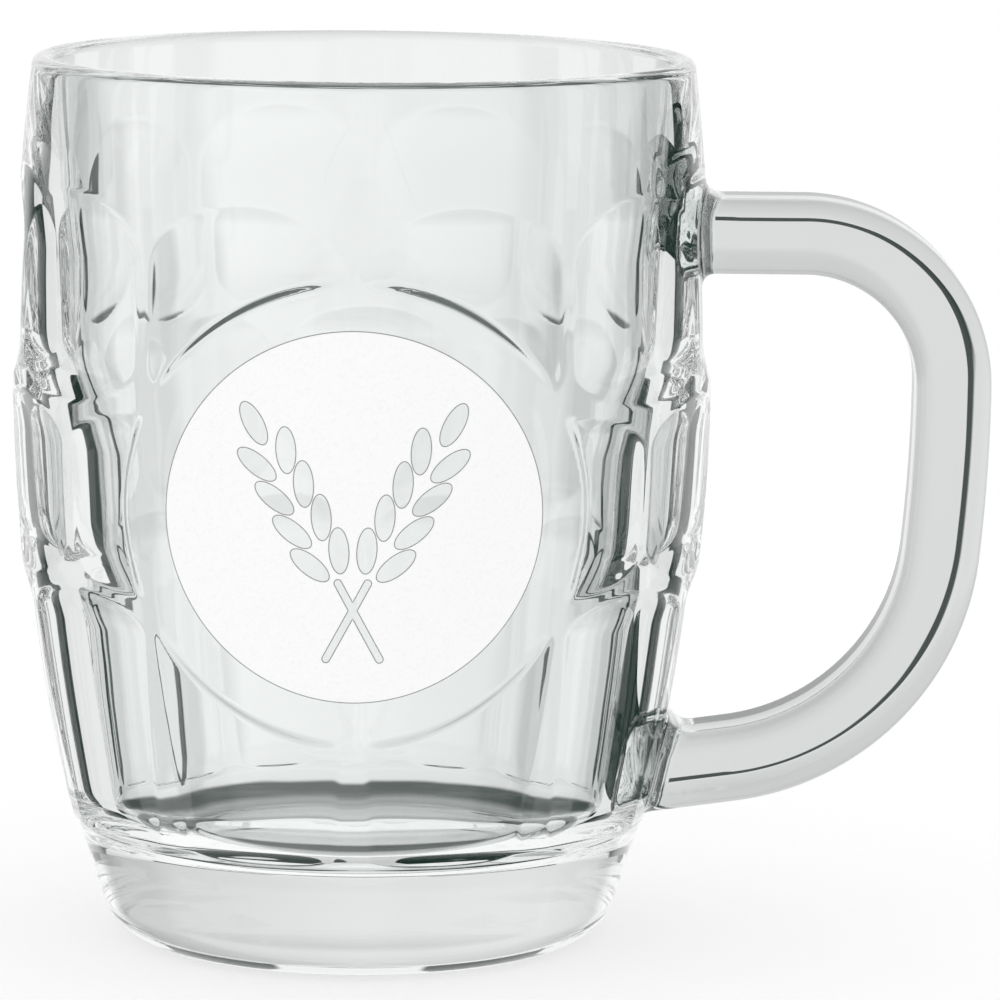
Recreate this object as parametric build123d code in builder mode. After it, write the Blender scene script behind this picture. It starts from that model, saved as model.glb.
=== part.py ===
from build123d import *
import os
from math import cos, radians, sin, sqrt

# Dimpled pint mug in pressed glass, millimetres.
# The mug axis is Z, the mug stands on Z = 0, the handle points along +X
# and the medallion faces -Y.

# Outer form of the pressed body
height = 130.0
belly_r = 51.2
belly_z = 82.0
lip_drop = 2.8
lip_wall = 3.2
lip_outer_r = belly_r - lip_drop
lip_inner_r = lip_outer_r - lip_wall
lip_z = height - lip_wall / 2
ridge_drop = 8.2
ridge_end_r = belly_r - ridge_drop
foot_top_z = 17.6
ledge = 1.25
ledge_rise = 1.4
ridge_end_z = foot_top_z + ledge_rise
foot_top_r = ridge_end_r - ledge
foot_taper = 3.75
foot_low_z = 5.6
foot_low_r = foot_top_r - foot_taper
base_corner = 7.6
standing_r = foot_low_r - base_corner
ring_width = 3.4
punt_r = standing_r - ring_width
punt_depth = 1.4

# Cavity
floor_z = 16.0
low_wall = 6.5
corner_wide = 9.5
corner_high = 8.1
corner_r = ridge_end_r - low_wall
corner_z = floor_z + corner_high
floor_r = corner_r - corner_wide

# Dimples: three rows of ten, the middle row set half a pitch round
columns = 10
pitch = 360 / columns
dimple_depth = 1.2
flute_low_depth = 0.8
facet_r = 115.0
cutter_arc = 18.0
cutter_reach = 4.8
cutter_outer_r = belly_r + cutter_reach
turn_x = belly_r - facet_r
low_row_lift = 0.4

top_row = {
    "low_z": 82.9,
    "low_end": 18.0,
    "low_depth": dimple_depth,
    "high_z": 112.8,
    "high_end": 36.0,
}
middle_row = {
    "low_z": 56.2,
    "low_end": 17.0,
    "low_depth": dimple_depth,
    "high_z": 82.6,
    "high_end": 17.0,
}
low_row = {
    "low_z": foot_top_z + low_row_lift,
    "low_end": 0.0,
    "low_depth": flute_low_depth,
    "high_z": 56.0,
    "high_end": 13.0,
}

# Medallion on the front and the fired print on it
medallion_r = 32.2
medallion_z = 69.4
print_border = 5.8
print_r = medallion_r - print_border
print_skin = 0.12
print_margin = 2.0

# Two crossed barley ears left clear in the print
ear_tilt = 28.0
ear_foot_x = 4.0
ear_foot_z = -20.5
grain_pairs = 4
grain_first = 17.0
grain_step = 5.3
grain_half_long = 3.3
grain_half_wide = 1.4
grain_side = 2.3
grain_lean = 24.0
stem_length = 13.5
stem_width = 1.1

# Handle bar and its path
bar_width = 16.0
bar_thick = 11.0
bar_flat = 5.6
bar_corner = (bar_thick - bar_flat) / 2
upper_z = 104.5
upper_reach = 14.0
shoulder_r = 22.0
shoulder_angle = 90.0
grip_r = 243.0
grip_angle = 5.8
lower_bend_r = 35.5
lower_bend_angle = 76.2
weld_depth = 4.4

# Flared feet of the handle: distance run towards the wall, growth all round
flare_steps = ((0.0, 0.0), (1.8, 0.4), (3.2, 1.3), (4.4, 2.3), (7.2, 3.0))
upper_flare_lead = 3.1
lower_flare_lead = 4.0


def outer_r(z):
    """Radius of the uncut outer form at height z."""
    if z >= belly_z:
        rise = lip_z - belly_z
        drop = belly_r - lip_outer_r
    else:
        rise = belly_z - ridge_end_z
        drop = belly_r - ridge_end_r
    arc_r = (rise ** 2 + drop ** 2) / (2 * drop)
    return belly_r - arc_r + sqrt(arc_r ** 2 - (z - belly_z) ** 2)


def floor_point(z, depth):
    """Point on a dimple floor, measured from the far turning axis."""
    return (outer_r(z) - depth - turn_x, z)


def rim_point(z):
    """Point on the uncut outer form, measured from the far turning axis."""
    return (outer_r(z) - turn_x, z)


def cutter_lines(row):
    """Closed outline of one dimple in its column plane."""
    low_depth = row["low_depth"]
    low_turn = row["low_z"] + sqrt(2 * row["low_end"] * low_depth)
    high_turn = row["high_z"] - sqrt(2 * row["high_end"] * dimple_depth)
    floor_curve = ThreePointArc(
        floor_point(low_turn, low_depth),
        floor_point((low_turn + high_turn) / 2, (low_depth + dimple_depth) / 2),
        floor_point(high_turn, dimple_depth),
    )
    high_curve = TangentArc(floor_curve @ 1, rim_point(row["high_z"]), tangent=floor_curve % 1)
    low_end_point = floor_curve @ 0
    if row["low_end"] > 0:
        low_curve = TangentArc(
            floor_curve @ 0, rim_point(row["low_z"]), tangent=(floor_curve % 0) * -1
        )
        low_end_point = low_curve @ 1
    Polyline(
        high_curve @ 1,
        (cutter_outer_r - turn_x, row["high_z"]),
        (cutter_outer_r - turn_x, row["low_z"]),
        low_end_point,
    )


# Dimple cutters: an outline turned about a far upright axis, so that every
# floor is flatter than the body and climbs out of the glass all round
half_arc = radians(cutter_arc / 2)
turning_axis = Axis((turn_x, 0, 0), (0, 0, 1))
cutter_plane = Plane(
    origin=(turn_x, 0, 0),
    x_dir=(cos(half_arc), -sin(half_arc), 0),
    z_dir=(-sin(half_arc), -cos(half_arc), 0),
)

with BuildPart() as top_cutter:
    with BuildSketch(cutter_plane):
        with BuildLine():
            cutter_lines(top_row)
        make_face()
    revolve(axis=turning_axis, revolution_arc=cutter_arc)

with BuildPart() as middle_cutter:
    with BuildSketch(cutter_plane):
        with BuildLine():
            cutter_lines(middle_row)
        make_face()
    revolve(axis=turning_axis, revolution_arc=cutter_arc)

with BuildPart() as low_cutter:
    with BuildSketch(cutter_plane):
        with BuildLine():
            cutter_lines(low_row)
        make_face()
    revolve(axis=turning_axis, revolution_arc=cutter_arc)

# The six dimples beside the medallion stop at its edge
front = -90.0
with BuildPart() as front_cutters:
    with PolarLocations(0, 2, start_angle=front - pitch / 2, angular_range=pitch, endpoint=True):
        add(top_cutter.part)
        add(low_cutter.part)
    with PolarLocations(0, 2, start_angle=front - pitch, angular_range=2 * pitch, endpoint=True):
        add(middle_cutter.part)
    with BuildSketch(Plane.XZ.offset(cutter_outer_r)):
        with Locations((0, medallion_z)):
            Circle(medallion_r)
    extrude(amount=-belly_r, mode=Mode.SUBTRACT)

# Pressed body: revolved wall with cavity, standing ring and punt, then dimples
with BuildPart() as mug_body:
    with BuildSketch(Plane.XZ):
        with BuildLine():
            TangentArc((belly_r, belly_z), (lip_outer_r, lip_z), tangent=(0, 1))
            TangentArc((belly_r, belly_z), (ridge_end_r, ridge_end_z), tangent=(0, -1))
            Line((ridge_end_r, ridge_end_z), (foot_top_r, foot_top_z))
            foot_side = Line((foot_top_r, foot_top_z), (foot_low_r, foot_low_z))
            TangentArc((foot_low_r, foot_low_z), (standing_r, 0), tangent=foot_side % 1)
            Line((standing_r, 0), (punt_r, 0))
            TangentArc((0, punt_depth), (punt_r, 0), tangent=(1, 0))
            Line((0, punt_depth), (0, floor_z))
            Line((0, floor_z), (floor_r, floor_z))
            corner = TangentArc((floor_r, floor_z), (corner_r, corner_z), tangent=(1, 0))
            TangentArc((corner_r, corner_z), (lip_inner_r, lip_z), tangent=corner % 1)
            ThreePointArc(
                (lip_inner_r, lip_z),
                ((lip_inner_r + lip_outer_r) / 2, height),
                (lip_outer_r, lip_z),
            )
        make_face()
    revolve(axis=Axis.Z)
    for column in range(columns - 2):
        with Locations(Location((0, 0, 0), (0, 0, (column - 1) * pitch))):
            add(top_cutter.part, mode=Mode.SUBTRACT)
            add(low_cutter.part, mode=Mode.SUBTRACT)
    for column in range(columns - 3):
        with Locations(Location((0, 0, 0), (0, 0, (column - 0.5) * pitch))):
            add(middle_cutter.part, mode=Mode.SUBTRACT)
    add(front_cutters.part, mode=Mode.SUBTRACT)
mug_body.part.label = "mug_body"

# Handle: one bar swept round the grip, flared where it is welded to the wall
upper_wall_x = outer_r(upper_z)
upper_start_x = upper_wall_x - weld_depth
with BuildPart() as handle:
    with BuildLine(Plane.XZ):
        upper_line = Line((upper_start_x, upper_z), (upper_wall_x + upper_reach, upper_z))
        shoulder = JernArc(upper_line @ 1, upper_line % 1, shoulder_r, -shoulder_angle)
        grip = JernArc(shoulder @ 1, shoulder % 1, grip_r, -grip_angle)
        lower_bend = JernArc(grip @ 1, grip % 1, lower_bend_r, -lower_bend_angle)
        lower_bend_end = lower_bend @ 1
        to_wall = lower_bend % 1
        lower_gap = (lower_bend_end.X - outer_r(lower_bend_end.Z)) / abs(to_wall.X)
        Line(lower_bend_end, lower_bend_end + (lower_gap + weld_depth) * to_wall)
    with BuildSketch(Plane((upper_start_x, 0, upper_z), x_dir=(0, 1, 0), z_dir=(1, 0, 0))):
        RectangleRounded(bar_width, bar_thick, bar_corner)
    sweep()
    for run, growth in flare_steps:
        flare_at = (upper_wall_x + upper_flare_lead - run, 0, upper_z)
        with BuildSketch(Plane(flare_at, x_dir=(0, 1, 0), z_dir=(-1, 0, 0))):
            RectangleRounded(bar_width + 2 * growth, bar_thick + 2 * growth, bar_corner + growth)
    loft()
    for run, growth in flare_steps:
        flare_at = lower_bend_end + (lower_gap - lower_flare_lead + run) * to_wall
        with BuildSketch(Plane(flare_at, x_dir=(0, 1, 0), z_dir=to_wall)):
            RectangleRounded(bar_width + 2 * growth, bar_thick + 2 * growth, bar_corner + growth)
    loft()
    add(mug_body.part, mode=Mode.SUBTRACT)
handle.part.label = "handle"

# Fired print: a thin round skin on the medallion with two barley ears left clear
print_low_z = medallion_z - print_r - print_margin
print_high_z = medallion_z + print_r + print_margin
with BuildPart() as medallion_print:
    with BuildSketch(Plane.XZ):
        with BuildLine():
            TangentArc((belly_r, belly_z), (outer_r(print_high_z), print_high_z), tangent=(0, 1))
            TangentArc((belly_r, belly_z), (outer_r(print_low_z), print_low_z), tangent=(0, -1))
            Line((outer_r(print_low_z), print_low_z), (outer_r(print_low_z) + print_skin, print_low_z))
            TangentArc(
                (belly_r + print_skin, belly_z),
                (outer_r(print_low_z) + print_skin, print_low_z),
                tangent=(0, -1),
            )
            TangentArc(
                (belly_r + print_skin, belly_z),
                (outer_r(print_high_z) + print_skin, print_high_z),
                tangent=(0, 1),
            )
            Line((outer_r(print_high_z) + print_skin, print_high_z), (outer_r(print_high_z), print_high_z))
        make_face()
    revolve(axis=Axis.Z)
    with BuildSketch(Plane.XZ.offset(cutter_outer_r)):
        with Locations((0, medallion_z)):
            Circle(print_r)
        for side in (-1, 1):
            along = Vector(side * sin(radians(ear_tilt)), cos(radians(ear_tilt)))
            across = Vector(along.Y, -along.X)
            foot = Vector(-side * ear_foot_x, medallion_z + ear_foot_z)
            with Locations(foot + along * (stem_length / 2)):
                SlotOverall(stem_length, stem_width, rotation=90 - side * ear_tilt, mode=Mode.SUBTRACT)
            for pair in range(grain_pairs):
                reach = foot + along * (grain_first + pair * grain_step)
                for hand in (-1, 1):
                    with Locations(reach + across * (hand * grain_side)):
                        Ellipse(
                            grain_half_long,
                            grain_half_wide,
                            rotation=90 - side * ear_tilt - hand * grain_lean,
                            mode=Mode.SUBTRACT,
                        )
            with Locations(foot + along * (grain_first + grain_pairs * grain_step)):
                Ellipse(
                    grain_half_long, grain_half_wide, rotation=90 - side * ear_tilt, mode=Mode.SUBTRACT
                )
    extrude(amount=-belly_r, mode=Mode.INTERSECT)
medallion_print.part.label = "medallion_print"

os.makedirs("parts", exist_ok=True)
export_step(mug_body.part, "parts/mug_body.step")
export_step(handle.part, "parts/handle.step")
export_step(medallion_print.part, "parts/medallion_print.step")
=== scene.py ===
from math import atan2, cos, pi, radians, sin, sqrt

import bpy
import numpy as np
from mathutils import Euler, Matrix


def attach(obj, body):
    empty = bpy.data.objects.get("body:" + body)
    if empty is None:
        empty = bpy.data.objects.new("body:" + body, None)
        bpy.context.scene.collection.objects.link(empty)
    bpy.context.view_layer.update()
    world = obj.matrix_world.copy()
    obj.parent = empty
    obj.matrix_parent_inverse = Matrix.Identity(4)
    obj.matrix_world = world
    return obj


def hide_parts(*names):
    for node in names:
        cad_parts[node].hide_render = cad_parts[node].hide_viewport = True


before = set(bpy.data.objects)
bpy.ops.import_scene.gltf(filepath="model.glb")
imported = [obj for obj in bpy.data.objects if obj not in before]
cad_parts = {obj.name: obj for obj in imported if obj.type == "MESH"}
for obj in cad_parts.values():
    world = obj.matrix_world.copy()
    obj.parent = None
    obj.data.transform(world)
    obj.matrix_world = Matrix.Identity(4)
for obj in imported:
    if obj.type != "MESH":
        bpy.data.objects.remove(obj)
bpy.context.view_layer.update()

# Lengths are millimetres, as in the part's source, and become metres by MM. Named angles are degrees
MM = 0.001
DEGREES = 180 / pi

# Outer form of the pressed body
HEIGHT = 130.0
BELLY_R = 51.2
BELLY_Z = 82.0
LIP_DROP = 2.8
LIP_WALL = 3.2
LIP_HALF = LIP_WALL / 2
LIP_OUTER_R = BELLY_R - LIP_DROP
LIP_INNER_R = LIP_OUTER_R - LIP_WALL
LIP_Z = HEIGHT - LIP_HALF
RIDGE_DROP = 8.2
RIDGE_END_R = BELLY_R - RIDGE_DROP
FOOT_TOP_Z = 17.6
LEDGE = 1.25
LEDGE_RISE = 1.4
RIDGE_END_Z = FOOT_TOP_Z + LEDGE_RISE
FOOT_TOP_R = RIDGE_END_R - LEDGE
FOOT_TAPER = 3.75
FOOT_LOW_Z = 5.6
FOOT_LOW_R = FOOT_TOP_R - FOOT_TAPER
BASE_CORNER = 7.6
STANDING_R = FOOT_LOW_R - BASE_CORNER
RING_WIDTH = 3.4
PUNT_R = STANDING_R - RING_WIDTH
PUNT_DEPTH = 1.4

# Cavity
FLOOR_Z = 16.0
LOW_WALL = 6.5
CORNER_WIDE = 9.5
CORNER_HIGH = 8.1
CORNER_R = RIDGE_END_R - LOW_WALL
CORNER_Z = FLOOR_Z + CORNER_HIGH
FLOOR_R = CORNER_R - CORNER_WIDE

# Dimples
COLUMNS = 10
DIMPLE_DEPTH = 1.2
FLUTE_LOW_DEPTH = 0.8
FACET_R = 115.0
TURN_X = BELLY_R - FACET_R
RIDGE_ROUNDING = 0.06
LOW_ROW_LIFT = 0.4
LOW_ROW_Z = FOOT_TOP_Z + LOW_ROW_LIFT
LOW_ROW_BLEND = 0.5
TOP_ROW = {"low_z": 82.9, "low_end": 18.0, "low_depth": DIMPLE_DEPTH, "high_z": 112.8, "high_end": 36.0}
MIDDLE_ROW = {"low_z": 56.2, "low_end": 17.0, "low_depth": DIMPLE_DEPTH, "high_z": 82.6, "high_end": 17.0}
LOW_ROW = {"low_z": LOW_ROW_Z, "low_end": 0.0, "low_depth": FLUTE_LOW_DEPTH, "high_z": 56.0, "high_end": 13.0}

# Medallion and print
MEDALLION_R = 32.2
MEDALLION_Z = 69.4
MEDALLION_BEVEL = 1.3
PRINT_BORDER = 5.8
PRINT_R = MEDALLION_R - PRINT_BORDER
PRINT_SKIN = 0.12

# Crossed ears left clear in the print, from its middle, and the fine grey line round them, which is painted
# shade for the shadow along the print's embossed edges
EAR_TILT = 28.0
EAR_FOOT_X = 4.0
EAR_FOOT_Z = -20.5
GRAIN_PAIRS = 4
GRAIN_FIRST = 17.0
GRAIN_STEP = 5.3
GRAIN_HALF_LONG = 3.3
GRAIN_HALF_WIDE = 1.4
GRAIN_SIDE = 2.3
GRAIN_LEAN = 24.0
STEM_LENGTH = 13.5
STEM_WIDTH = 1.1
LINE_WIDTH = 0.14
LINE_PROUD = LINE_WIDTH / 4

# Handle. A weld's fillet is given above the bar and below it
BAR_WIDTH = 16.0
BAR_THICK = 11.0
BAR_CORNER = 2.7
BAR_START = 4.2
UPPER_Z = 104.5
UPPER_REACH = 14.0
SHOULDER_R = 22.0
SHOULDER_ANGLE = 90.0
GRIP_R = 243.0
GRIP_ANGLE = 5.8
LOWER_BEND_R = 35.5
LOWER_BEND_ANGLE = 76.2
UPPER_FILLET = (3.0, 1.8)
LOWER_FILLET = (3.6, 2.6)
FILLET_SWEEP = 86.0
WELD_EMBED = 0.08
WELD_FACE_SHARES = (1.0, 0.85, 0.65, 0.45, 0.25, 0.1)
ACROSS = np.array([0.0, 1.0, 0.0])

# Mesh fineness
AROUND = 720
ROW_STEP = 0.42
LEDGE_STEP = 0.1
LEDGE_OVERRUN = 0.4
PUNT_RINGS = 24
PUNT_FIRST = 0.04
BASE_CORNER_RINGS = 24
LIP_RINGS = 18
INNER_WALL_RINGS = 90
FLOOR_CORNER_RINGS = 26
FLOOR_RINGS = 14
FLOOR_FIRST_R = 1.0
BAR_AROUND = 96
BAR_STEP = 0.8
ARM_RINGS = 13
FEWEST_BEND_RINGS = 8
FILLET_RINGS = 15
WALL_SEARCH = (-4.0, 16.0)
WALL_HALVINGS = 40
RIM_POINTS = 360
GRAIN_POINTS = 48
STALK_TIP_POINTS = 13
STALK_STEP = 0.4
LINE_SIDES = 6

# Finishes
GLASS_COLOUR = (0.975, 0.99, 0.985, 1)
GLASS_IOR = 1.5
BODY_ROUGHNESS = 0.0
HANDLE_ROUGHNESS = 0.012
RIPPLE_SIZE = 14.0
RIPPLE_DETAIL = 1.0
RIPPLE_HEIGHT = 0.05
INK_SIZE = 0.5
INK_DETAIL = 3.0
INK_HEIGHT = 0.004
INK_TONE_SPAN = (0.3, 0.5)
INK_ROUGH_STOPS = ((0.3, (0.7, 0.7, 0.7, 1)), (0.7, (0.5, 0.5, 0.5, 1)))
ENAMEL_THIN = (0.93, 0.93, 0.935, 1)
ENAMEL_FULL = (0.97, 0.97, 0.97, 1)
# Grey of the line round the print: painted shade, standing for the shadow along the print's embossed edges
SHADE_LINE_THIN = (0.36, 0.36, 0.37, 1)
SHADE_LINE_FULL = (0.28, 0.28, 0.29, 1)
STAGE_R = 4000.0
STAGE_SIDES = 96
STAGE_BASE = (0.4, 0.4, 0.4, 1)
STAGE_GLOW = 0.62
WHITE = (1, 1, 1, 1)

# Studio straight through the glass: pale panels at even turns, greyer between them with narrow dark
# seams, dark low down behind and high up at the sides. Stops are (degrees up, brightness), and an edge
# runs from where a tone starts to where it is full
PANEL_TURN = 45.0
PANEL_EDGE = (9.0, 13.0)
PANEL_TONE = 1.0
GAP_TONE = 0.8
SEAM_EDGE = (20.3, 21.3)
SEAM_TONE = 0.0
SIDE_EDGE = (-30.0, 40.0)
SIDE_TONE = 0.8
HEIGHT_STOPS = (
    (-90, 0.5), (-45, 0.8), (-15, 0.95), (-6.6, 1.0), (-5.3, 0.95),
    (-3, 0.89), (3, 0.86), (40, 0.7), (90, 0.3),
)
UNDER_STOPS = ((-90, 0.6), (-55, 0.5), (-42, 0.45), (-36, 0.08), (-27, 0.08), (-25, 1.0), (90, 1.0))
UNDER_ROUND = (22.0, 16.0)
UPPER_EDGE = (8.0, 14.0)
UPPER_ROUND = (18.0, 28.0)
UPPER_TONE = 0.08
HANDLE_TONE = 0.82
BOTH_WALLS = 3
DARK_GLASS = (0.010, 0.026, 0.019, 1)

# Small dark gap that the handle shows as a line. It is deeper further round
LINE_GAP_ROUND = 3.4
LINE_GAP_HEIGHT = -7.1
LINE_GAP_WIDE = 5.5
LINE_GAP_DEEP = 2.5
LINE_GAP_DEEPEST = 3.0
LINE_GAP_START = 1.2
LINE_GAP_SLOPE = 1.2
LINE_GAP_SOFT = 0.3
LINE_GAP_FADE = 1.5
LINE_GAP_TONE = 0.04

# Studio for rays reflected inside the glass, and for those reflected often
INSIDE_EDGE = (11.5, 10.0)
INSIDE_FRONT = (112.0, 124.0)
INSIDE_TONE = 0.9
INSIDE_STOPS = ((-90, 0.6), (-35, 0.9), (-14, 1.0), (11, 1.0), (17, 0.05), (90, 0.02))
OFTEN = 3
OFTEN_TONE = 1.0
HANDLE_OFTEN = 1
HANDLE_OFTEN_TONE = 0.0

# Studio for rays reflected off the outside, with dark flags at the right front and at both sides. The
# first starts and is full at shares of a ray's X
OUTSIDE_STOPS = ((-90, 0.9), (20, 1.0), (45, 0.3), (90, 0.1))
FLAG_RIGHT = (0.0, 0.4)
FLAG_ROUND = (60.0, 90.0)
SIDES_NEAR = (30.0, 42.0)
SIDES_FAR = (88.0, 72.0)
OUTSIDE_DARK = 0.05

# Camera at the photograph's angle, and how many turns light takes inside thick glass
CAMERA_X = 20.4
CAMERA_AWAY = 900.0
CAMERA_Z = 203.4
CAMERA_PITCH = 8.77
CAMERA_ROLL = 0.57
CAMERA_LENS = 222.6
CAMERA_SENSOR = 36.0
CAMERA_SIGHT = 50000.0
LIGHT_BOUNCES = 32


# Meshes in general
def ring_turns(count):
    """Even turns round a full circle, in radians."""
    return 2 * pi * np.arange(count) / count


def tangent_arc(start, heading, end, count):
    """Points on the arc that leaves start along heading and reaches end, start left out."""
    start = np.array(start, float)
    end = np.array(end, float)
    chord = end - start
    turn = 2 * (atan2(chord[1], chord[0]) - heading)
    turn = (turn + pi) % (2 * pi) - pi
    radius = np.hypot(*chord) / (2 * sin(turn / 2))
    centre = start + radius * np.array([-sin(heading), cos(heading)])
    steps = heading + turn * np.arange(1, count + 1) / count
    return centre + radius * np.stack([np.sin(steps), -np.cos(steps)], 1)


def new_mesh_object(name, points, faces):
    """A smooth object from points in millimetres and lists of vertex numbers."""
    mesh = bpy.data.meshes.new(name)
    mesh.from_pydata((np.asarray(points) * MM).tolist(), [], faces)
    mesh.validate()
    mesh.polygons.foreach_set("use_smooth", np.ones(len(mesh.polygons), bool))
    obj = bpy.data.objects.new(name, mesh)
    bpy.context.scene.collection.objects.link(obj)
    return obj


def ring_faces(rings, around):
    """Quads between successive closed rings of points."""
    here = np.arange(around)
    after = (here + 1) % around
    quads = []
    for ring in range(rings - 1):
        low = ring * around
        high = low + around
        quads.append(np.stack([low + here, low + after, high + after, high + here], 1))
    return np.concatenate(quads).tolist()


def closed_skin(name, rings, first_tip, last_tip):
    """An object whose skin runs through rings of points and closes on a tip at each end."""
    count = len(rings)
    around = len(rings[0])
    points = np.concatenate([np.concatenate(rings), [first_tip, last_tip]])
    faces = ring_faces(count, around)
    first_middle = count * around
    last_middle = first_middle + 1
    last_ring = first_middle - around
    for step in range(around):
        after = (step + 1) % around
        faces.append([after, step, first_middle])
        faces.append([last_ring + step, last_ring + after, last_middle])
    return new_mesh_object(name, points, faces)


# Pressed body
def arc_drop(rise, drop, reach):
    """How far an upright-tangent arc that falls by drop over rise has fallen after reach."""
    arc_r = (rise ** 2 + drop ** 2) / (2 * drop)
    return arc_r - np.sqrt(arc_r ** 2 - reach ** 2)


def outer_r(z):
    """Radius of the uncut outer form above the foot."""
    up = arc_drop(LIP_Z - BELLY_Z, BELLY_R - LIP_OUTER_R, np.clip(z - BELLY_Z, 0, None))
    down = arc_drop(BELLY_Z - RIDGE_END_Z, BELLY_R - RIDGE_END_R, np.clip(BELLY_Z - z, 0, None))
    return BELLY_R - up - down


def foot_r(z):
    """Radius of the plain foot below the dimples."""
    return FOOT_TOP_R - (FOOT_TOP_Z - z) * (FOOT_TOP_R - FOOT_LOW_R) / (FOOT_TOP_Z - FOOT_LOW_Z)


def uncut_r(z):
    """Outer form with the ledge where the ridges end above the foot."""
    ledge = np.interp(z, [FOOT_TOP_Z, RIDGE_END_Z], [0.0, 1.0])
    return foot_r(z) * (1 - ledge) + outer_r(z) * ledge


def soft_min(a, b, width):
    """The lower of a and b, with the crease between them rounded over width."""
    near = np.clip(width - np.abs(a - b), 0, None) / width
    return np.minimum(a, b) - near ** 2 * width / 4


def row_floor(z, row):
    """Radius of a dimple floor on the middle of its column, rising out of the glass at its ends."""
    low_turn = row["low_z"] + sqrt(2 * row["low_end"] * row["low_depth"])
    high_turn = row["high_z"] - sqrt(2 * row["high_end"] * DIMPLE_DEPTH)
    floor = outer_r(z) - np.interp(z, [low_turn, high_turn], [row["low_depth"], DIMPLE_DEPTH])
    if row["low_end"]:
        floor = floor + np.clip(low_turn - z, 0, None) ** 2 / (2 * row["low_end"])
    return floor + np.clip(z - high_turn, 0, None) ** 2 / (2 * row["high_end"])


def across_column(floor, azimuth, first_column):
    """Radius of the dimples round the body, each turned about a far upright axis."""
    pitch = 2 * pi / COLUMNS
    off = (azimuth - first_column + pitch / 2) % pitch - pitch / 2
    return TURN_X * np.cos(off) + np.sqrt((floor - TURN_X) ** 2 - (TURN_X * np.sin(off)) ** 2)


def body_r(azimuth, z):
    """Outer radius of the finished body. Azimuth is from +X, anticlockwise from above."""
    plain = uncut_r(z)
    cut = plain
    for row, first_column in ((TOP_ROW, 0.0), (MIDDLE_ROW, pi / COLUMNS), (LOW_ROW, 0.0)):
        dimples = across_column(row_floor(z, row), azimuth, first_column)
        cut = soft_min(cut, dimples, RIDGE_ROUNDING)
    above_foot = np.clip((z - LOW_ROW_Z) / LOW_ROW_BLEND, 0, 1)
    cut = plain * (1 - above_foot) + cut * above_foot
    from_centre = np.hypot(plain * np.cos(azimuth), z - MEDALLION_Z)
    outside = np.clip((from_centre - MEDALLION_R) / MEDALLION_BEVEL, 0, 1)
    outside = outside ** 2 * (3 - 2 * outside)
    outside = np.where(np.sin(azimuth) < 0, outside, 1.0)
    return plain * (1 - outside) + cut * outside


def punt_profile():
    """Shallow dome under the base, from near its middle out to the standing ring."""
    sphere_r = (PUNT_R ** 2 + PUNT_DEPTH ** 2) / (2 * PUNT_DEPTH)
    reach = np.linspace(PUNT_FIRST, 1, PUNT_RINGS) * PUNT_R
    return np.stack([reach, PUNT_DEPTH - sphere_r + np.sqrt(sphere_r ** 2 - reach ** 2)], 1)


def base_profile():
    """Middle of the standing ring, then the rounded corner up to the foot."""
    foot_heading = atan2(FOOT_TOP_Z - FOOT_LOW_Z, FOOT_TOP_R - FOOT_LOW_R)
    corner = tangent_arc((FOOT_LOW_R, FOOT_LOW_Z), foot_heading + pi, (STANDING_R, 0), BASE_CORNER_RINGS)
    return np.concatenate([[[PUNT_R + RING_WIDTH / 2, 0.0]], corner[::-1]])


def outside_rings(azimuths):
    """Rings of the foot, the ledge and the dimpled wall."""
    wall_start = RIDGE_END_Z + LEDGE_OVERRUN
    foot_rows = np.arange(FOOT_LOW_Z, FOOT_TOP_Z, ROW_STEP)
    ledge_rows = np.arange(FOOT_TOP_Z, wall_start, LEDGE_STEP)
    wall_rows = np.linspace(wall_start, LIP_Z, int((LIP_Z - RIDGE_END_Z) / ROW_STEP))
    rows = np.concatenate([foot_rows, ledge_rows, wall_rows])
    z, azimuth = np.meshgrid(rows, azimuths, indexing="ij")
    radius = body_r(azimuth, z)
    return np.stack([radius * np.cos(azimuth), radius * np.sin(azimuth), z], 2)


def lip_profile():
    """Round lip, from the outside over to the inside."""
    turn = np.linspace(0, pi, LIP_RINGS)[1:-1]
    middle_r = LIP_OUTER_R - LIP_HALF
    return np.stack([middle_r + LIP_HALF * np.cos(turn), LIP_Z + LIP_HALF * np.sin(turn)], 1)


def cavity_profile():
    """Inside, from the lip down the wall and round the corner to near the floor's middle."""
    corner = tangent_arc((FLOOR_R, FLOOR_Z), 0.0, (CORNER_R, CORNER_Z), FLOOR_CORNER_RINGS)
    corner_heading = 2 * atan2(CORNER_Z - FLOOR_Z, CORNER_R - FLOOR_R)
    wall = tangent_arc((CORNER_R, CORNER_Z), corner_heading, (LIP_INNER_R, LIP_Z), INNER_WALL_RINGS)
    floor_reach = np.linspace(FLOOR_R, FLOOR_FIRST_R, FLOOR_RINGS)
    floor = np.stack([floor_reach, np.full(FLOOR_RINGS, FLOOR_Z)], 1)
    return np.concatenate([wall[::-1], corner[::-1], floor])


def revolved(profile, azimuths):
    """Rings of points from (radius, height) pairs turned about the upright axis."""
    x = np.outer(profile[:, 0], np.cos(azimuths))
    y = np.outer(profile[:, 0], np.sin(azimuths))
    z = np.outer(profile[:, 1], np.ones(len(azimuths)))
    return np.stack([x, y, z], 2)


def pressed_body():
    """Body from the middle of the punt up the outside, over the lip and down to the floor's middle."""
    azimuths = ring_turns(AROUND)
    below = revolved(np.concatenate([punt_profile(), base_profile()]), azimuths)
    above = revolved(np.concatenate([lip_profile(), cavity_profile()]), azimuths)
    rings = np.concatenate([below, outside_rings(azimuths), above])
    return closed_skin("pressed_body", rings, [0, 0, PUNT_DEPTH], [0, 0, FLOOR_Z])


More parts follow.
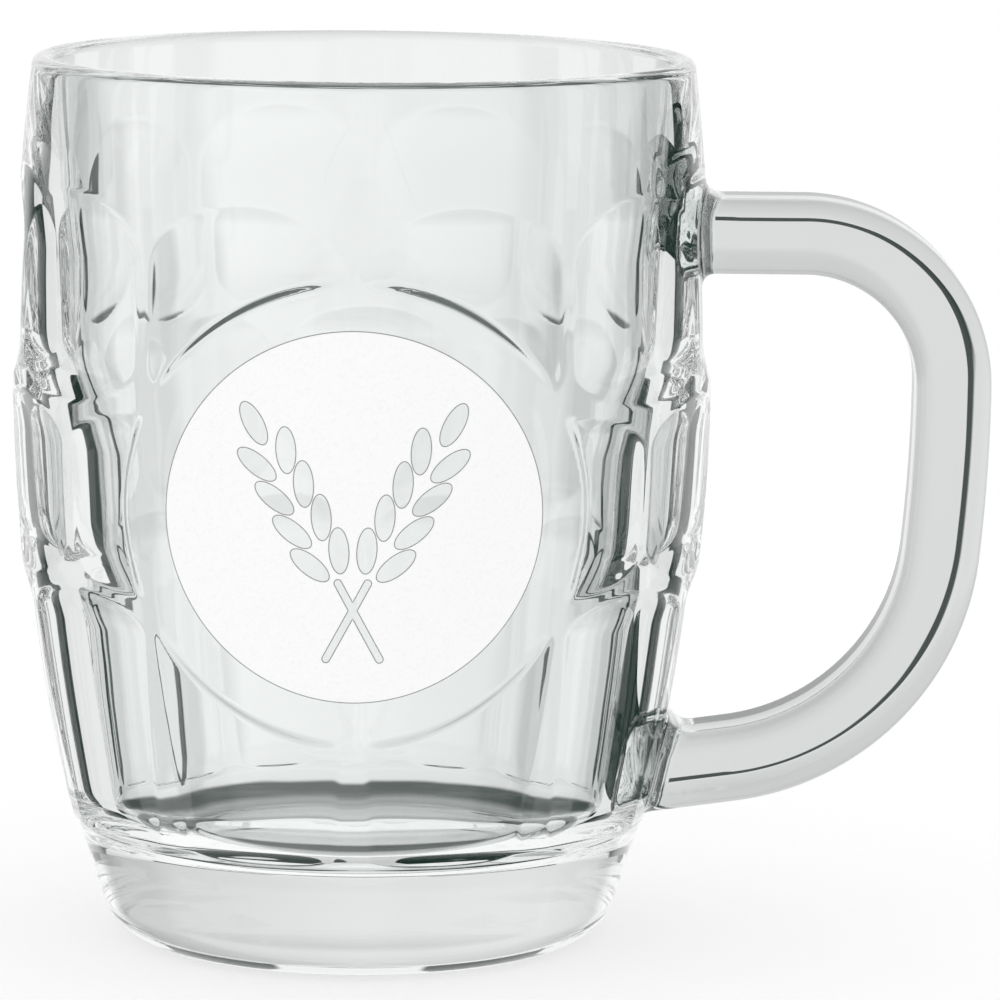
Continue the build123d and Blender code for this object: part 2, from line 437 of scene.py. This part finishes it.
# Handle, on the same path as the solid, in the plane of X and Z
def bar_path():
    """Centre points, and headings in radians, from the upper weld round to the lower weld."""
    wall_x = float(outer_r(UPPER_Z))
    start = np.array([wall_x + BAR_START, UPPER_Z])
    point = np.array([wall_x + UPPER_REACH, UPPER_Z])
    heading = 0.0
    points = [start + (point - start) * share for share in np.linspace(0, 1, ARM_RINGS)]
    headings = [heading] * len(points)
    bends = ((SHOULDER_R, SHOULDER_ANGLE), (GRIP_R, GRIP_ANGLE), (LOWER_BEND_R, LOWER_BEND_ANGLE))
    for radius, angle in bends:
        centre = point + radius * np.array([sin(heading), -cos(heading)])
        count = max(FEWEST_BEND_RINGS, int(radius * radians(angle) / BAR_STEP))
        for step in range(1, count + 1):
            turned_to = heading - radians(angle) * step / count
            points.append(centre + radius * np.array([-sin(turned_to), cos(turned_to)]))
            headings.append(turned_to)
        point = points[-1]
        heading = headings[-1]
    return np.array(points), np.array(headings)


def bar_section():
    """Rounded-rectangle outline across the bar and its outward normals, both as (across, out) pairs."""
    half_wide = BAR_WIDTH / 2 - BAR_CORNER
    half_high = BAR_THICK / 2 - BAR_CORNER
    corner_length = pi / 2 * BAR_CORNER
    length = 4 * (half_wide + half_high + corner_length)
    corners = ((1, 1, 0.0), (-1, 1, pi / 2), (-1, -1, pi), (1, -1, 3 * pi / 2))
    sides = (2 * half_wide, 2 * half_high, 2 * half_wide, 2 * half_high)
    outline = []
    normals = []
    for place in np.arange(BAR_AROUND) * length / BAR_AROUND:
        for (right, up, first_turn), side in zip(corners, sides):
            turn = first_turn + min(place, corner_length) / BAR_CORNER
            slide = max(place - corner_length, 0.0)
            if slide < side:
                normal = np.array([cos(turn), sin(turn)])
                along = np.array([-sin(turn), cos(turn)])
                middle = np.array([right * half_wide, up * half_high])
                outline.append(middle + BAR_CORNER * normal + slide * along)
                normals.append(normal)
                break
            place = slide - side
    return np.array(outline), np.array(normals)


def laid(flat, origin, out):
    """Section points, (across, out) pairs, laid at origin with out along a given direction."""
    return origin + np.outer(flat[:, 0], ACROSS) + np.outer(flat[:, 1], out)


def to_wall(points, direction):
    """Distance from each point along direction to the body's outer surface."""
    near = np.full(len(points), WALL_SEARCH[0])
    far = np.full(len(points), WALL_SEARCH[1])
    for _ in range(WALL_HALVINGS):
        half = (near + far) / 2
        x, y, z = (points + half[:, None] * direction).T
        outside = np.hypot(x, y) > body_r(np.arctan2(y, x), z)
        near = np.where(outside, half, near)
        far = np.where(outside, far, half)
    return near


def weld_rings(origin, heading_in, outline, normals, fillet_above, fillet_below):
    """Rings from a bar section to the wall, a fillet and then the buried face, and that face's middle."""
    direction = np.array([cos(heading_in), 0.0, sin(heading_in)])
    out = np.array([-sin(heading_in), 0.0, cos(heading_in)])
    if out[2] < 0:
        out = -out
    share_above = (normals[:, 1] + 1) / 2
    radius = fillet_below + (fillet_above - fillet_below) * share_above
    ends = outline + normals * radius[:, None]
    reach = to_wall(laid(ends, origin, out), direction)
    rings = []
    for turn in np.radians(np.linspace(0, FILLET_SWEEP, FILLET_RINGS)):
        flat = outline + normals * (radius * (1 - cos(turn)))[:, None]
        rings.append(laid(flat, origin, out) + np.outer(reach - radius * (1 - sin(turn)), direction))
    for face_share in WELD_FACE_SHARES:
        face = laid(ends * face_share, origin, out)
        rings.append(face + np.outer(to_wall(face, direction) + WELD_EMBED, direction))
    middle = laid(np.zeros((1, 2)), origin, out)
    tip = middle + np.outer(to_wall(middle, direction) + WELD_EMBED, direction)
    return rings, tip[0]


def welded_handle():
    """Bar swept round the loop, with a filleted weld at each end."""
    points, headings = bar_path()
    section, normals = bar_section()
    origins = np.stack([points[:, 0], np.zeros(len(points)), points[:, 1]], 1)
    bar = []
    for origin, heading in zip(origins, headings):
        bar.append(laid(section, origin, np.array([-sin(heading), 0.0, cos(heading)])))
    flip = np.array([1.0, -1.0])
    upper, upper_tip = weld_rings(origins[0], pi, section, normals, *UPPER_FILLET)
    lower, lower_tip = weld_rings(origins[-1], headings[-1], section * flip, normals * flip, *LOWER_FILLET)
    return closed_skin("welded_handle", upper[::-1] + bar + lower, upper_tip, lower_tip)


# Fine grey line round the print and round the ears left clear in it. It is painted shade: a dark wire
# standing for the thin shadow along the embossed edges
def grain_loop(middle, tilt):
    """Outline of one grain, long way at tilt degrees from upright."""
    turns = ring_turns(GRAIN_POINTS)
    lean = radians(tilt)
    along = np.array([sin(lean), cos(lean)])
    across = np.array([cos(lean), -sin(lean)])
    return (
        middle
        + np.outer(GRAIN_HALF_WIDE * np.cos(turns), across)
        + np.outer(GRAIN_HALF_LONG * np.sin(turns), along)
    )


def ear_loops(side):
    """Outlines of the grains of one ear, which leans to side (-1 or 1)."""
    lean = radians(EAR_TILT)
    along = np.array([side * sin(lean), cos(lean)])
    across = np.array([along[1], -along[0]])
    foot = np.array([-side * EAR_FOOT_X, EAR_FOOT_Z])
    loops = []
    for pair in range(GRAIN_PAIRS):
        reach = foot + along * (GRAIN_FIRST + pair * GRAIN_STEP)
        for hand in (-1, 1):
            middle = reach + across * (hand * GRAIN_SIDE)
            loops.append(grain_loop(middle, side * EAR_TILT + hand * GRAIN_LEAN))
    top = foot + along * (GRAIN_FIRST + GRAIN_PAIRS * GRAIN_STEP)
    loops.append(grain_loop(top, side * EAR_TILT))
    return loops


def stalk_loop():
    """Outline of the two crossed stalks as one loop, clockwise from the notch on top."""
    lean = radians(EAR_TILT)
    half = STEM_WIDTH / 2
    below = EAR_FOOT_X / sin(lean)
    above = STEM_LENGTH - below
    arms = ((lean, above), (pi - lean, below), (pi + lean, below), (-lean, above))
    notch_up = half / sin(lean)
    notch_side = half / cos(lean)
    notches = ((0, notch_up), (notch_side, 0), (0, -notch_up), (-notch_side, 0))
    corners = []
    for (heading, reach), notch in zip(arms, notches):
        along = np.array([sin(heading), cos(heading)])
        right = np.array([cos(heading), -sin(heading)])
        corners.append(np.array(notch, float))
        for turn in np.linspace(-pi / 2, pi / 2, STALK_TIP_POINTS):
            corners.append(along * (reach - half + half * cos(turn)) + right * (half * sin(turn)))
    loop = []
    for start, end in zip(corners, corners[1:] + corners[:1]):
        count = int(np.hypot(*(end - start)) / STALK_STEP) + 1
        loop += [start + (end - start) * step / count for step in range(count)]
    crossing = np.array([0.0, EAR_FOOT_Z + below * cos(lean)])
    return np.array(loop) + crossing


def line_rings(loop):
    """Rings of a flat wire along a loop of points on the print, (x, height from its middle) pairs."""
    height = loop[:, 1] + MEDALLION_Z
    surface_r = outer_r(height) + PRINT_SKIN
    front = -np.sqrt(surface_r ** 2 - loop[:, 0] ** 2)
    spine = np.stack([loop[:, 0], front, height], 1)
    outward = np.stack([loop[:, 0], front, np.zeros(len(loop))], 1)
    outward /= np.linalg.norm(outward, axis=1)[:, None]
    run = np.roll(spine, -1, 0) - np.roll(spine, 1, 0)
    sideways = np.cross(run, outward)
    sideways /= np.linalg.norm(sideways, axis=1)[:, None]
    turns = ring_turns(LINE_SIDES)[None, :, None]
    flat = LINE_WIDTH / 2 * np.cos(turns) * sideways[:, None, :]
    proud = LINE_PROUD * np.sin(turns) * outward[:, None, :]
    return spine[:, None, :] + flat + proud


def line_faces(count, first):
    """Quads round a closed wire of count rings, whose points are numbered from first."""
    faces = []
    for step in range(count):
        here = first + step * LINE_SIDES
        after = first + (step + 1) % count * LINE_SIDES
        for corner in range(LINE_SIDES):
            turn = (corner + 1) % LINE_SIDES
            faces.append([here + corner, after + corner, after + turn, here + turn])
    return faces


def emboss_shade_outline():
    """The painted shade line round the print's rim, each grain and the crossed stalks."""
    turns = ring_turns(RIM_POINTS)
    rim = PRINT_R * np.stack([np.cos(turns), np.sin(turns)], 1)
    points = []
    faces = []
    first = 0
    for loop in [rim] + ear_loops(-1) + ear_loops(1) + [stalk_loop()]:
        points.append(line_rings(loop).reshape(-1, 3))
        faces += line_faces(len(loop), first)
        first += len(loop) * LINE_SIDES
    return new_mesh_object("emboss_shade_line", np.concatenate(points), faces)


# Materials
def new_material(name):
    """A material, with its shader."""
    material = bpy.data.materials.new(name)
    material.use_nodes = True
    return material, material.node_tree.nodes["Principled BSDF"]


def surface_noise(material, size, detail):
    """Noise in the object's own space, with features of about size millimetres."""
    nodes = material.node_tree.nodes
    place = nodes.new("ShaderNodeTexCoord")
    noise = nodes.new("ShaderNodeTexNoise")
    noise.inputs["Scale"].default_value = 1 / (size * MM)
    noise.inputs["Detail"].default_value = detail
    material.node_tree.links.new(place.outputs["Object"], noise.inputs["Vector"])
    return noise.outputs["Fac"]


def raise_surface(material, shader, noise, height):
    """Let noise stand proud of the surface by up to height millimetres."""
    bump = material.node_tree.nodes.new("ShaderNodeBump")
    bump.inputs["Distance"].default_value = height * MM
    material.node_tree.links.new(noise, bump.inputs["Height"])
    material.node_tree.links.new(bump.outputs["Normal"], shader.inputs["Normal"])


def vary(material, noise, socket, stops):
    """Let a socket of the shader follow noise between (noise, colour) stops."""
    ramp = material.node_tree.nodes.new("ShaderNodeValToRGB")
    for element, (position, colour) in zip(ramp.color_ramp.elements, stops):
        element.position = position
        element.color = colour
    material.node_tree.links.new(noise, ramp.inputs["Fac"])
    material.node_tree.links.new(ramp.outputs["Color"], socket)


def glass(name, roughness):
    """Clear soda-lime glass with a faint green cast and a slow ripple."""
    material, shader = new_material(name)
    shader.inputs["Base Color"].default_value = GLASS_COLOUR
    shader.inputs["Roughness"].default_value = roughness
    shader.inputs["IOR"].default_value = GLASS_IOR
    shader.inputs["Transmission Weight"].default_value = 1.0
    ripple = surface_noise(material, RIPPLE_SIZE, RIPPLE_DETAIL)
    raise_surface(material, shader, ripple, RIPPLE_HEIGHT)
    return material


def enamel_and_edge_shade(name, thin, full):
    """Matt fired ink whose tone goes from thin to full with a fine grain. The same material in grey makes the
    painted shade line round the print.
    """
    material, shader = new_material(name)
    grain = surface_noise(material, INK_SIZE, INK_DETAIL)
    vary(material, grain, shader.inputs["Base Color"], zip(INK_TONE_SPAN, (thin, full)))
    vary(material, grain, shader.inputs["Roughness"], INK_ROUGH_STOPS)
    raise_surface(material, shader, grain, INK_HEIGHT)
    return material


def stage_white(name):
    """White floor that keeps a shadow."""
    material, shader = new_material(name)
    shader.inputs["Base Color"].default_value = STAGE_BASE
    shader.inputs["Roughness"].default_value = 1.0
    shader.inputs["Specular IOR Level"].default_value = 0.0
    shader.inputs["Emission Color"].default_value = WHITE
    shader.inputs["Emission Strength"].default_value = STAGE_GLOW
    return material


# Pieces
mug = pressed_body()
mug.data.materials.append(glass("body_glass", BODY_ROUGHNESS))
handle = welded_handle()
handle.data.materials.append(glass("handle_glass", HANDLE_ROUGHNESS))
print_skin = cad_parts["medallion_print"]
print_skin.data.materials.clear()
print_skin.data.materials.append(enamel_and_edge_shade("print_enamel", ENAMEL_THIN, ENAMEL_FULL))
for piece, node, slot in ((mug, "mug_body", "body_glass"), (handle, "handle", "handle_glass")):
    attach(piece, "root")
    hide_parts(node)

# Painted shade: a grey wire standing for the thin shadow along the print's embossed edges
emboss_shade_line = emboss_shade_outline()
emboss_shade_line.data.materials.append(enamel_and_edge_shade("emboss_shade_line", SHADE_LINE_THIN, SHADE_LINE_FULL))
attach(emboss_shade_line, "root")

# Floor, which isn't seen through the glass
bpy.ops.mesh.primitive_circle_add(
    vertices=STAGE_SIDES, radius=STAGE_R * MM, fill_type="NGON", location=(0, 0, 0)
)
floor_disc = bpy.context.object
floor_disc.name = "studio_floor"
floor_disc.data.materials.append(stage_white("studio_floor"))
floor_disc.visible_transmission = False
floor_disc.visible_glossy = False

# World: white to the eye and to matt surfaces, and a pale studio with darker gaps for the glass
world = bpy.data.worlds.new("studio")
bpy.context.scene.world = world
world.use_nodes = True
sky = world.node_tree.nodes
sky_links = world.node_tree.links


def sky_math(operation, *values):
    """A maths node on sockets or numbers."""
    node = sky.new("ShaderNodeMath")
    node.operation = operation
    for socket, value in zip(node.inputs, values):
        if isinstance(value, (int, float)):
            socket.default_value = value
        else:
            sky_links.new(value, socket)
    return node.outputs[0]


def sky_step(source, start, end):
    """A smooth rise from 0 at start to 1 at end."""
    node = sky.new("ShaderNodeMapRange")
    node.interpolation_type = "SMOOTHSTEP"
    node.inputs["From Min"].default_value = start
    node.inputs["From Max"].default_value = end
    sky_links.new(source, node.inputs["Value"])
    return node.outputs["Result"]


def mixed(share, low, high):
    """A value that goes from low to high with share."""
    return sky_math("MULTIPLY_ADD", share, sky_math("SUBTRACT", high, low), low)


def product(first, *others):
    """All the values multiplied."""
    for other in others:
        first = sky_math("MULTIPLY", first, other)
    return first


def opposite(share):
    """What is left of 1."""
    return sky_math("SUBTRACT", 1.0, share)


def at_least(count, least):
    """1 where a ray's whole count reaches least, otherwise 0."""
    return sky_math("GREATER_THAN", sky_math("ADD", count, 0.5), least)


def by_height(angle, stops):
    """Brightness that follows (degrees up, brightness) stops from straight down to straight up."""
    ramp = sky.new("ShaderNodeValToRGB")
    elements = ramp.color_ramp.elements
    while len(elements) < len(stops):
        elements.new(0.5)
    for element, (degrees_up, bright) in zip(elements, stops):
        element.position = (degrees_up + 90) / 180
        element.color = (bright, bright, bright, 1)
    sky_links.new(sky_math("MULTIPLY_ADD", angle, 1 / 180, 0.5), ramp.inputs["Fac"])
    return ramp.outputs["Color"]


# Where a ray goes: degrees round from +Y towards +X, degrees up, and degrees from a panel's middle
direction = sky.new("ShaderNodeTexCoord")
split = sky.new("ShaderNodeSeparateXYZ")
sky_links.new(direction.outputs["Generated"], split.inputs["Vector"])
round_angle = product(sky_math("ARCTAN2", split.outputs["X"], split.outputs["Y"]), DEGREES)
up_angle = product(sky_math("ARCSINE", split.outputs["Z"]), DEGREES)
away = sky_math("ABSOLUTE", round_angle)
from_panel = sky_math("PINGPONG", round_angle, PANEL_TURN / 2)

# How it came. The handle's slight roughness tells its rays from the body's
light_path = sky.new("ShaderNodeLightPath")
crossed = light_path.outputs["Transmission Depth"]
reflections = light_path.outputs["Glossy Depth"]
both_walls = at_least(crossed, BOTH_WALLS)
from_handle = opposite(light_path.outputs["Is Singular Ray"])

# Gap that the handle shows as a dark line
inward = sky_math("SUBTRACT", LINE_GAP_ROUND, round_angle)
downward = sky_math("SUBTRACT", LINE_GAP_HEIGHT, up_angle)
further = sky_math("MAXIMUM", sky_math("SUBTRACT", inward, LINE_GAP_START), 0.0)
deeper = sky_math("MINIMUM", product(further, LINE_GAP_SLOPE), LINE_GAP_DEEPEST - LINE_GAP_DEEP)
line_gap = product(
    from_handle,
    sky_step(inward, -LINE_GAP_SOFT, 0.0),
    sky_step(inward, LINE_GAP_WIDE + LINE_GAP_FADE, LINE_GAP_WIDE - LINE_GAP_FADE),
    sky_step(downward, -LINE_GAP_SOFT, 0.0),
    sky_step(sky_math("SUBTRACT", downward, deeper), LINE_GAP_DEEP + LINE_GAP_SOFT, LINE_GAP_DEEP),
)

# Straight through
off_panel = product(both_walls, sky_step(from_panel, *PANEL_EDGE))
seam = product(both_walls, sky_step(from_panel, *SEAM_EDGE))
under = product(both_walls, sky_step(away, *UNDER_ROUND))
upper = product(both_walls, sky_step(up_angle, *UPPER_EDGE), sky_step(away, *UPPER_ROUND))
through = product(
    by_height(up_angle, HEIGHT_STOPS),
    mixed(off_panel, PANEL_TONE, GAP_TONE),
    mixed(seam, 1.0, SEAM_TONE),
    mixed(under, 1.0, by_height(up_angle, UNDER_STOPS)),
    mixed(upper, 1.0, UPPER_TONE),
    mixed(sky_step(round_angle, *SIDE_EDGE), 1.0, SIDE_TONE),
    mixed(from_handle, 1.0, HANDLE_TONE),
    mixed(line_gap, 1.0, LINE_GAP_TONE),
)

# Reflected inside
inside_pale = sky_math("MAXIMUM", sky_step(from_panel, *INSIDE_EDGE), sky_step(away, *INSIDE_FRONT))
inside = product(mixed(inside_pale, SEAM_TONE, INSIDE_TONE), by_height(up_angle, INSIDE_STOPS))
often = at_least(reflections, mixed(from_handle, OFTEN, HANDLE_OFTEN))
inside = mixed(often, inside, mixed(from_handle, OFTEN_TONE, HANDLE_OFTEN_TONE))

# Reflected off the outside
flag = product(sky_step(split.outputs["X"], *FLAG_RIGHT), sky_step(away, *FLAG_ROUND))
sides = product(sky_step(away, *SIDES_NEAR), sky_step(away, *SIDES_FAR))
outside_dark = mixed(sky_math("MAXIMUM", flag, sides), 1.0, OUTSIDE_DARK)
outside = product(by_height(up_angle, OUTSIDE_STOPS), outside_dark)

# White unless a ray comes from the glass and met nothing matt before it
reflected = mixed(at_least(crossed, 1), outside, inside)
studio = mixed(at_least(reflections, 1), through, reflected)
from_glass = sky_math(
    "MAXIMUM", light_path.outputs["Is Glossy Ray"], light_path.outputs["Is Transmission Ray"]
)
matt_before = at_least(light_path.outputs["Diffuse Depth"], 1)
brightness = mixed(product(from_glass, opposite(matt_before)), 1.0, studio)
tint = sky.new("ShaderNodeValToRGB")
tint.color_ramp.elements[0].color = DARK_GLASS
tint.color_ramp.elements[1].color = WHITE
sky_links.new(brightness, tint.inputs["Fac"])
sky_links.new(tint.outputs["Color"], sky["Background"].inputs["Color"])

# Camera
camera_data = bpy.data.cameras.new("camera")
camera_data.sensor_width = CAMERA_SENSOR
camera_data.lens = CAMERA_LENS
camera_data.clip_end = CAMERA_SIGHT * MM
camera = bpy.data.objects.new("camera", camera_data)
camera.location = (CAMERA_X * MM, -CAMERA_AWAY * MM, CAMERA_Z * MM)
pitched = Euler((radians(90 - CAMERA_PITCH), 0, 0)).to_matrix()
rolled = Euler((0, 0, radians(CAMERA_ROLL))).to_matrix()
camera.rotation_euler = (pitched @ rolled).to_euler()
bpy.context.scene.collection.objects.link(camera)
bpy.context.scene.camera = camera
bpy.context.scene.view_settings.view_transform = "Standard"
bpy.context.scene.cycles.max_bounces = LIGHT_BOUNCES
bpy.context.scene.cycles.glossy_bounces = LIGHT_BOUNCES
bpy.context.scene.cycles.transmission_bounces = LIGHT_BOUNCES
